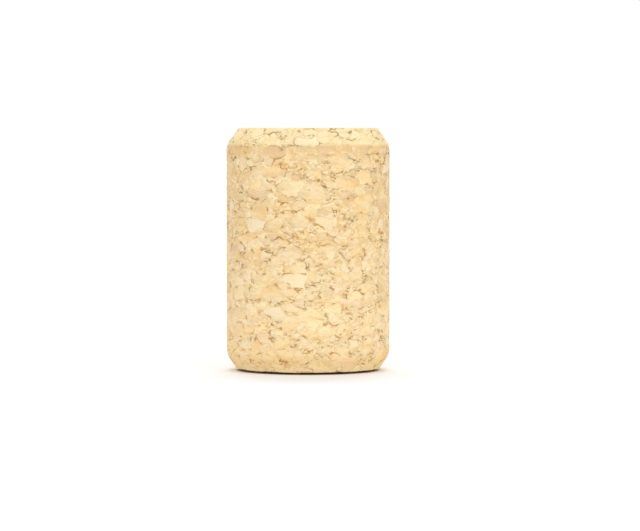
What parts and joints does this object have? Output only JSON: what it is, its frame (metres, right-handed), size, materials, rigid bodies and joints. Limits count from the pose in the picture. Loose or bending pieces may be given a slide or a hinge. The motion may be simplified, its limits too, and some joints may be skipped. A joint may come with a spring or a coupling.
{
  "type": "cork stopper",
  "caption": "Plain cylindrical stopper of agglomerated cork with a bevel at each end, pressed into a bottle neck to close it.",
  "frame": {"origin": "middle of the base, where the stopper stands", "axes": "+Z along the stopper's own axis, from the base with the shorter bevel to the top face with the longer bevel"},
  "size_m": [0.03, 0.03, 0.0445],
  "materials": {
    "cork": "matt ground cork granules, cream to light tan, with fine brown seams and small pits"
  },
  "bodies": {
    "root": {"stopper": "cork"}
  },
  "joints": []
}
